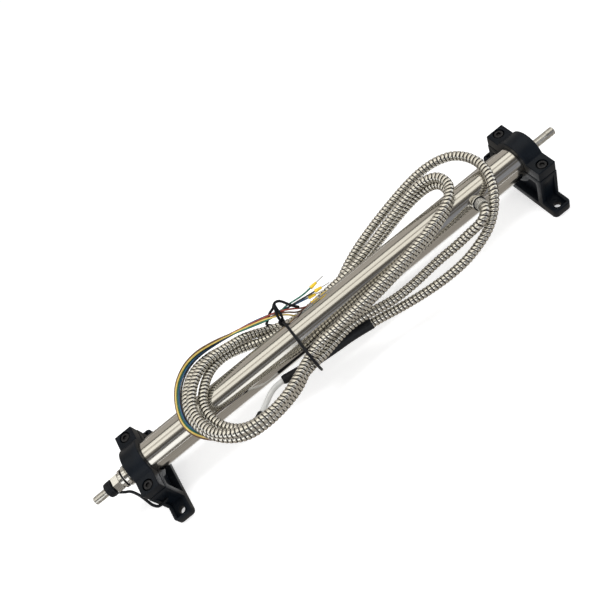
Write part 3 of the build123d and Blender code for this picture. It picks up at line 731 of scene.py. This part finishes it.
# Coil tie: a coated wire tie that holds the hose loops and the wires to the tube, with its knot and
# the pointed bow of its loose ends.
tie_diameter = 0.0025
tie_knot = (-0.0415, 0.02, 0.0455)
tie_route = [
    (-0.0215, 0.019, 0.0495), (-0.0259, 0.0206, 0.0555), (-0.0287, 0.0246, 0.06),
    (-0.0315, 0.0285, 0.0625), (-0.0356, 0.0301, 0.0625), (-0.0385, 0.0302, 0.0595),
    (-0.0405, 0.0302, 0.0565), (-0.0455, 0.0332, 0.0512), (-0.052, 0.0318, 0.0448),
    (-0.0555, 0.0345, 0.0385), (-0.052, 0.0362, 0.0305), (-0.0455, 0.032, 0.0225),
    (-0.0425, 0.019, 0.0183),
    (-0.042, 0.006, 0.0215), (-0.042, -0.007, 0.0225), (-0.0415, -0.018, 0.0215),
    (-0.041, -0.027, 0.0215), (-0.0405, -0.0325, 0.027), (-0.04, -0.0375, 0.035),
    (-0.04, -0.04, 0.0435), (-0.04, -0.0403, 0.053), (-0.04, -0.0368, 0.061),
    (-0.04, -0.027, 0.0625), (-0.04, -0.015, 0.0605), (-0.04, -0.003, 0.059),
    (-0.04, 0.007, 0.0575), (-0.0405, 0.014, 0.053), (-0.041, 0.018, 0.0475),
]
tie_strand = [
    tie_knot, (-0.0418, 0.0195, 0.051), (-0.0412, 0.022, 0.057), (-0.0395, 0.0255, 0.059),
    (-0.0368, 0.0295, 0.062),
]
tie_second = [
    tie_knot, (-0.0393, 0.0186, 0.0505), (-0.0377, 0.0215, 0.0565), (-0.038, 0.0255, 0.0595),
    (-0.0368, 0.0293, 0.0623),
]
knot_loops = [
    [(-0.0440, 0.0195, 0.0440), (-0.0425, 0.0222, 0.0452), (-0.0402, 0.0220, 0.0470),
     (-0.0395, 0.0192, 0.0478), (-0.0412, 0.0180, 0.0462), (-0.0436, 0.0192, 0.0448)],
    [(-0.0415, 0.0180, 0.0440), (-0.0440, 0.0190, 0.0462), (-0.0438, 0.0212, 0.0476),
     (-0.0412, 0.0222, 0.0462), (-0.0398, 0.0205, 0.0446), (-0.0410, 0.0185, 0.0438)],
    [(-0.0425, 0.0185, 0.0480), (-0.0400, 0.0205, 0.0465), (-0.0402, 0.0222, 0.0445),
     (-0.0428, 0.0218, 0.0440), (-0.0442, 0.0200, 0.0456)],
]
tie_coat, nodes, links, shader = finish("tie_coat", 0.0, 0.42)
shader.inputs["Specular IOR Level"].default_value = 0.2
grain = noise(nodes, links, 500.0)
tint(nodes, links, shader, grain, (0.003, 0.004, 0.006), (0.008, 0.009, 0.012))
rough(nodes, links, shader, grain, 0.3, 0.5)
relief(nodes, links, shader, grain, 0.00005)
coil_tie = solid_strand("coil_tie_wire", tie_route + [tie_knot], tie_diameter, tie_coat)
tie_parts = [
    solid_strand("coil_tie_strand", tie_strand, tie_diameter, tie_coat),
    solid_strand("coil_tie_second", tie_second, tie_diameter, tie_coat),
]
for i, points in enumerate(knot_loops):
    tie_parts.append(solid_strand("knot_loop_" + str(i), points, tie_diameter, tie_coat))
join_into(coil_tie, tie_parts)
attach(coil_tie, "housing")
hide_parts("coil_tie")


# Rod tie: the same tie wound round the rod just outside the nut, with one strand that goes back to
# the left bracket. It stays with the housing, and the rod slides through its winds.
rod_tie_diameter = 0.0026
rod_strand_route = [
    (-0.248, -0.0062, 0.0405), (-0.2435, -0.009, 0.0368), (-0.2384, -0.0112, 0.0358),
    (-0.2328, -0.02, 0.0352), (-0.2298, -0.028, 0.0335), (-0.2278, -0.0345, 0.0305),
    (-0.2232, -0.0378, 0.0272), (-0.217, -0.0326, 0.0225),
]
winds = 4
steps_per_wind = 10
winds_start = -0.254
winds_length = 0.0065
wind_radius = 0.0062
wind_bulge = 0.0005
wind_wobble = 0.00015
wobble_turn = 1.7
wind_points = []
for step in range(winds * steps_per_wind + 1):
    turn = math.radians(360 / steps_per_wind * step)
    share = step / (winds * steps_per_wind)
    swell = wind_radius + wind_bulge * math.sin(math.pi * share)
    swell += wind_wobble * math.sin(step * wobble_turn)
    x = winds_start + winds_length * share
    wind_points.append((x, swell * math.cos(turn), axis_height + swell * math.sin(turn)))
rod_tie = solid_strand("rod_tie_winds", wind_points, rod_tie_diameter, tie_coat)
strand = solid_strand("rod_tie_strand", rod_strand_route, rod_tie_diameter, tie_coat)
join_into(rod_tie, [strand])
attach(rod_tie, "housing")
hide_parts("rod_tie")


# Housing tube and its boss: drawn stainless tube, finely brushed along its length, with a boss
# welded to its near side. Both keep their CAD shapes.
brushed_steel, nodes, links, shader = finish("brushed_steel", 1.0, 0.26)
streaks = noise(nodes, links, 1.0, (6, 900, 900), 6.0)
tint(nodes, links, shader, streaks, (0.55, 0.535, 0.5), (0.66, 0.645, 0.61))
rough(nodes, links, shader, streaks, 0.1, 0.17)
relief(nodes, links, shader, streaks, 0.000004, 0.3)
finished_copy("housing_tube", "drawn_tube", brushed_steel)
finished_copy("cable_boss", "welded_boss", brushed_steel, edge=0.0002)


# Hose's end sleeve: turned sleeve seated in the boss, with a black ring of painted shade round the
# boss's mouth and a knurled collar that is bent along the hose's first stretch.
boss_reach = 0.0226
collar_radius = 0.0052
collar_bore = 0.0046
knurl_start = 0.0035
knurl_step = 0.001
knurl_rows = 8
turned_nickel, nodes, links, shader = finish("turned_nickel", 1.0, 0.14)
rings = noise(nodes, links, 1.0, (2500, 60, 60), 3.0)
tint(nodes, links, shader, rings, (0.62, 0.61, 0.58), (0.78, 0.77, 0.74))
rough(nodes, links, shader, rings, 0.09, 0.2)
relief(nodes, links, shader, rings, 0.00001)
# Near-black paint for the painted shade in the gap round the boss's mouth and in the nut's deep
# groove
painted_gap_shade, nodes, links, shader = finish("painted_gap_shade", 0.0, 0.6)
shader.inputs["Specular IOR Level"].default_value = 0.25
grain = noise(nodes, links, 600.0)
tint(nodes, links, shader, grain, (0.004, 0.004, 0.005), (0.01, 0.01, 0.012))
relief(nodes, links, shader, grain, 0.00002)
knurled_steel, nodes, links, shader = finish("knurled_steel", 0.55, 0.42)
hatch = noise(nodes, links, 1500.0, detail=1.0)
tint(nodes, links, shader, hatch, (0.30, 0.29, 0.26), (0.80, 0.79, 0.74), 0.4, 0.6)
relief(nodes, links, shader, hatch, 0.0001)
end_sleeve = finished_copy(
    "hose_ferrule", "hose_end_sleeve", turned_nickel, edge=0.0002,
)
stations = [(0.0031, collar_bore), (0.0031, collar_radius)]
stations += [(knurl_start + knurl_step * row, collar_radius) for row in range(knurl_rows)]
stations += [(0.0112, 0.0049), (0.0112, collar_bore)]
collar = tube_mesh("knurled_collar", stations, 40)
collar_line = route_line("collar_line", hose_points[:6])
bend_along(collar, collar_line)
bpy.data.objects.remove(collar_line)
outward = (Vector(hose_first) - Vector(hose_seat)).normalized()
mouth = Vector((hose_seat[0], 0, axis_height)) + outward * boss_reach
# Thin near-black ring of painted shade, put where the gap round the boss's mouth is in shade
ring = tube_mesh("mouth_shade_ring", [
    (0, 0.0053), (0, 0.0061), (0.0005, 0.0064), (0.001, 0.0061), (0.001, 0.0053),
], 40)
point_along(ring, mouth, outward)
collar.data.materials.append(knurled_steel)
ring.data.materials.append(painted_gap_shade)
smooth(collar, 40)
smooth(ring, 40)
join_into(end_sleeve, [collar, ring])


# Stepped nut: turned rings in bright nickel, with a black ring of painted shade in the deep groove
# between them and a hexagonal nose. It sits on the tube's left end, and the rod slides through it.
nut = tube_mesh("stepped_nut", [
    (-0.2245, 0.0043), (-0.2245, 0.0097), (-0.2249, 0.01), (-0.2285, 0.01), (-0.2289, 0.0097),
    (-0.2289, 0.0085), (-0.2297, 0.0085), (-0.2297, 0.0097), (-0.2301, 0.01), (-0.2329, 0.01),
    (-0.2333, 0.0097), (-0.2333, 0.0068), (-0.2352, 0.0068), (-0.2352, 0.0087),
    (-0.2355, 0.009), (-0.2376, 0.009), (-0.2379, 0.0087), (-0.2379, 0.0072),
    (-0.2393, 0.0072), (-0.2393, 0.0043),
], 64)
nose = tube_mesh("nut_nose", [
    (-0.239, 0.005), (-0.239, 0.0082), (-0.2394, 0.0086), (-0.2456, 0.0086), (-0.246, 0.0082),
    (-0.246, 0.005),
], 6)
# Near-black ring of painted shade, filling the nut's deep groove where it is in shade
groove_shade_ring = tube_mesh("nut_groove_shade_ring", [
    (-0.2334, 0.0068), (-0.2334, 0.008), (-0.2342, 0.0084), (-0.2351, 0.008),
    (-0.2351, 0.0068),
], 48)
nut.data.materials.append(turned_nickel)
nose.data.materials.append(turned_nickel)
groove_shade_ring.data.materials.append(painted_gap_shade)
for piece, angle in ((nut, 35), (nose, 20), (groove_shade_ring, 60)):
    piece.data.transform(Matrix.Translation((0, 0, axis_height)))
    smooth(piece, angle)
join_into(nut, [nose, groove_shade_ring])
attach(nut, "housing")
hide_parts("front_gland_nut")


# End caps: turned plugs in bright nickel, pressed into the tube's two ends. They keep their CAD
# shapes, and the rod slides through both.
for end in ("front", "rear"):
    finished_copy(
        end + "_end_cap", end + "_tube_plug", turned_nickel, edge=0.0002,
    )


# Sliding rod: centreless ground steel bar that passes right through and carries the core. It is the
# one piece seen from outside that rides on the rod's body.
ground_bar, nodes, links, shader = finish("ground_bar", 1.0, 0.25)
lay = noise(nodes, links, 1.0, (1400, 90, 90), 4.0)
tint(nodes, links, shader, lay, (0.5, 0.49, 0.46), (0.66, 0.65, 0.61))
rough(nodes, links, shader, lay, 0.18, 0.34)
relief(nodes, links, shader, lay, 0.00002)
finished_copy("core_rod", "ground_rod", ground_bar, "rod", edge=0.00015)


# Clamp brackets: two moulded halves each, in fine-grained black plastic, closed round the tube by
# black socket screws and nuts.
bracket_plastic, nodes, links, shader = finish("bracket_plastic", 0.0, 0.4)
shader.inputs["Specular IOR Level"].default_value = 0.16
grain = noise(nodes, links, 1600.0, detail=2.0)
mottle = noise(nodes, links, 60.0)
tint(nodes, links, shader, mottle, (0.002, 0.0035, 0.006), (0.005, 0.0075, 0.0115))
rough(nodes, links, shader, mottle, 0.34, 0.46)
relief(nodes, links, shader, grain, 0.00006, 0.6)
for side in ("left", "right"):
    for half in ("cap", "base"):
        finished_copy(
            side + "_clamp_" + half, side + "_" + half + "_moulding", bracket_plastic,
            edge=0.0004,
        )
black_oxide, nodes, links, shader = finish("black_oxide", 0.9, 0.38)
grain = noise(nodes, links, 900.0)
tint(nodes, links, shader, grain, (0.02, 0.02, 0.022), (0.045, 0.045, 0.048))
relief(nodes, links, shader, grain, 0.00002)
finished_copy("clamp_screws", "socket_screws", black_oxide, edge=0.0002)
finished_copy("clamp_nuts", "hex_nuts", black_oxide, edge=0.0002)


# Hidden inner pieces: former, windings, shield, bushes, seals and core keep their CAD shapes and
# take a finish each, picked by the material slot of the node.
def plain_finish(name, metallic, roughness, dark, light, scale, stretch=(1, 1, 1)):
    """Material with grain in its colour and relief."""
    made, nodes, links, shader = finish(name, metallic, roughness)
    grain = noise(nodes, links, scale, stretch)
    tint(nodes, links, shader, grain, dark, light)
    relief(nodes, links, shader, grain, 0.00002)
    return made


inner_finishes = {
    "former_white": plain_finish(
        "former_polymer", 0.0, 0.5, (0.72, 0.70, 0.64), (0.85, 0.83, 0.78), 400.0,
    ),
    "enamelled_copper": plain_finish(
        "enamelled_wire", 1.0, 0.3, (0.35, 0.12, 0.05), (0.66, 0.27, 0.12), 1.0, (3500, 40, 40),
    ),
    "shield_steel": plain_finish(
        "rolled_steel", 1.0, 0.4, (0.32, 0.32, 0.33), (0.5, 0.5, 0.5), 1.0, (10, 400, 400),
    ),
    "bush_bronze": plain_finish(
        "sintered_bronze", 1.0, 0.45, (0.38, 0.25, 0.1), (0.6, 0.42, 0.2), 900.0,
    ),
    "seal_rubber": plain_finish(
        "seal_rubber", 0.0, 0.7, (0.012, 0.012, 0.012), (0.03, 0.03, 0.03), 500.0,
    ),
    "nickel_iron": plain_finish(
        "nickel_iron", 1.0, 0.4, (0.28, 0.28, 0.27), (0.42, 0.42, 0.4), 700.0,
    ),
}
slots = {row["node"]: row["material_slot"] for row in frame["record"]["subparts"]}
for node, inner in frame["nodes"].items():
    if slots.get(node) in inner_finishes:
        inner.data.materials.clear()
        inner.data.materials.append(inner_finishes[slots[node]])
